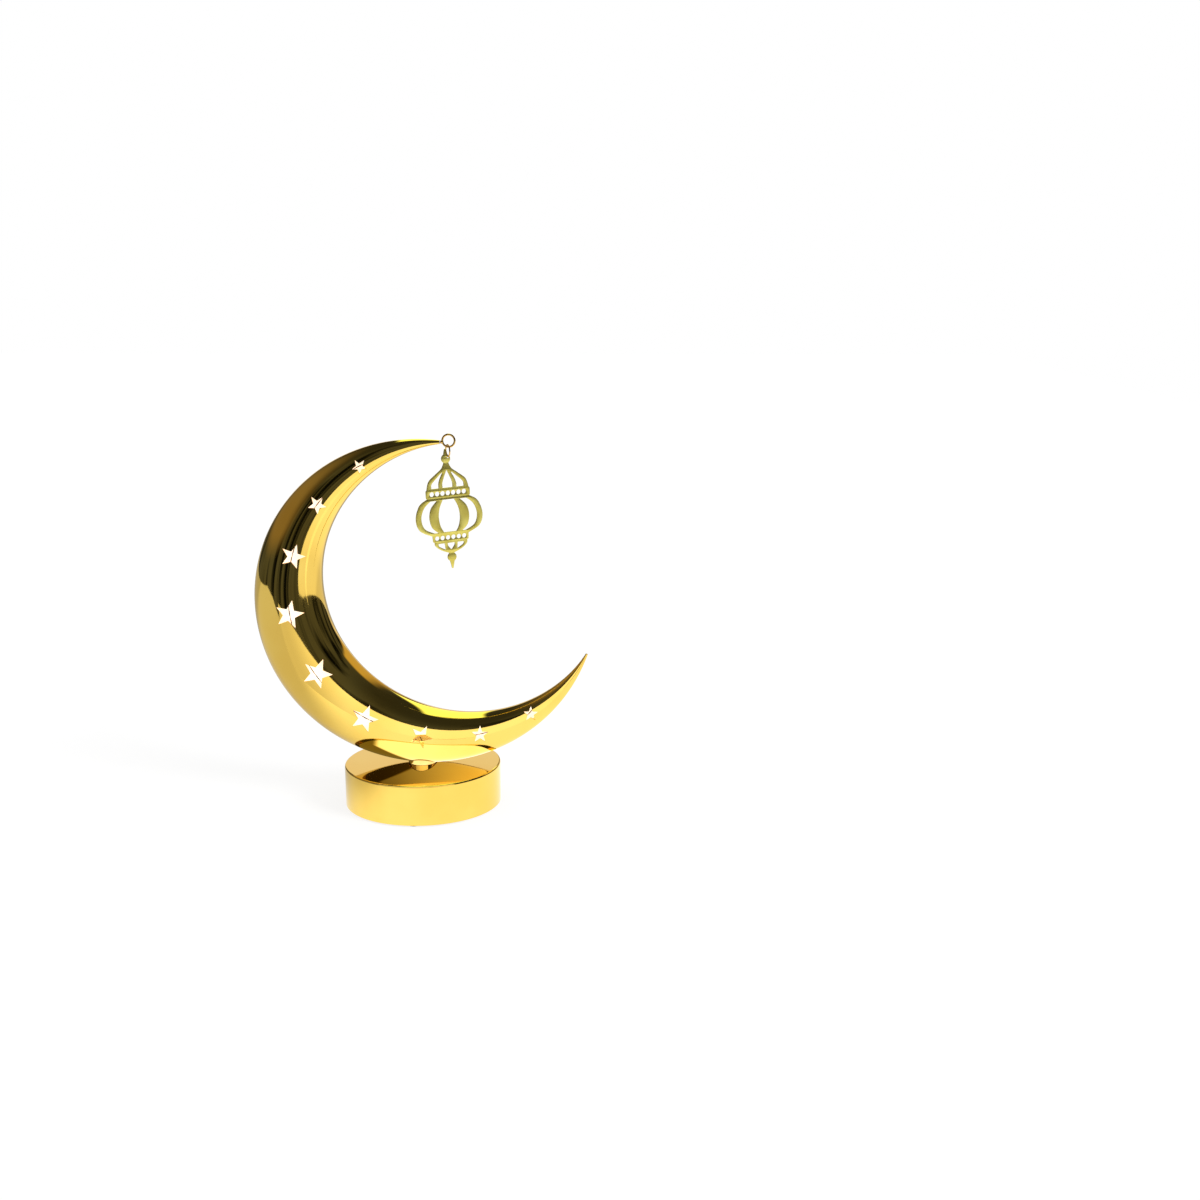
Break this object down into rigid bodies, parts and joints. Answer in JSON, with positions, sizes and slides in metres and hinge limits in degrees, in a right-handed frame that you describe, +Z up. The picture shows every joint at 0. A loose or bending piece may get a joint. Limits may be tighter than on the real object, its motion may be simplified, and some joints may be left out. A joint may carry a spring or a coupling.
{
  "type": "crescent moon lantern stand",
  "caption": "Battery-lit gold crescent moon on a round drum base, pierced with stars, with a flat cut-sheet lantern charm hanging from its upper tip.",
  "frame": {"origin": "middle of the bounding box footprint, on the table plane under the feet", "axes": "+Z up, the crescent lies in the XZ plane and opens to +X and up, its face looks along -Y"},
  "size_m": [0.1688, 0.08, 0.1909],
  "materials": {
    "gold_plate": "mirror-bright gold plating",
    "gold_wire": "bright gold plated wire",
    "gold_sheet": "satin gold sheet",
    "neck_brass": "plain drawn tube",
    "zinc_steel": "zinc plated",
    "nickel": "nickel plated strip and wire",
    "black_plastic": "fine spark texture",
    "rubber": "matt",
    "white_film": "frosted translucent film",
    "copper_wire": "enamelled copper wire with clear beads",
    "cell_jacket": "printed foil jacket",
    "red_cover": "soft insulation",
    "black_cover": "soft insulation"
  },
  "bodies": {
    "stand": {"moon_front_half": "gold_plate", "moon_rear_half": "gold_plate", "diffuser_front": "white_film", "diffuser_rear": "white_film", "led_string": "copper_wire", "tip_eye": "gold_wire", "drum_cover": "gold_plate", "neck_tube": "neck_brass", "neck_nut": "zinc_steel", "base_plate": "black_plastic", "cover_post_1": "zinc_steel", "plate_screw_1": "zinc_steel", "cover_post_2": "zinc_steel", "plate_screw_2": "zinc_steel", "cover_post_3": "zinc_steel", "plate_screw_3": "zinc_steel", "cover_post_4": "zinc_steel", "plate_screw_4": "zinc_steel", "rubber_foot_1": "rubber", "rubber_foot_2": "rubber", "rubber_foot_3": "rubber", "rubber_foot_4": "rubber", "battery_cell_1": "cell_jacket", "contact_spring_1": "nickel", "battery_cell_2": "cell_jacket", "contact_spring_2": "nickel", "battery_cell_3": "cell_jacket", "contact_spring_3": "nickel", "contact_minus": "nickel", "contact_left_bridge": "nickel", "contact_right_bridge": "nickel", "contact_plus": "nickel", "switch_body": "zinc_steel", "lead_plus": "red_cover", "lead_switch": "red_cover", "lead_minus": "black_cover", "joint_sleeve": "black_cover"},
    "jump_ring": {"jump_ring": "gold_wire"},
    "charm": {"lantern_charm": "gold_sheet"},
    "door": {"battery_door": "black_plastic"},
    "knob": {"switch_knob": "black_plastic"}
  },
  "joints": [
    {"name": "jump_ring_swing", "type": "hinge", "parent": "stand", "child": "jump_ring", "pos_m": [0.01508, 0, 0.18436], "axis": [1, 0, 0], "range_deg": [-60, 60]},
    {"name": "charm_swing", "type": "hinge", "parent": "jump_ring", "child": "charm", "pos_m": [0.01508, 0, 0.17943], "axis": [-0.4384, 0.8988, 0], "range_deg": [-60, 60]},
    {"name": "battery_door_hinge", "type": "hinge", "parent": "stand", "child": "door", "pos_m": [-0.02887, 0, 0.0015], "axis": [0, 1, 0], "range_deg": [0, 70]},
    {"name": "switch_slide", "type": "slide", "parent": "stand", "child": "knob", "axis": [1, 0, 0], "range_m": [0, 0.004]}
  ]
}
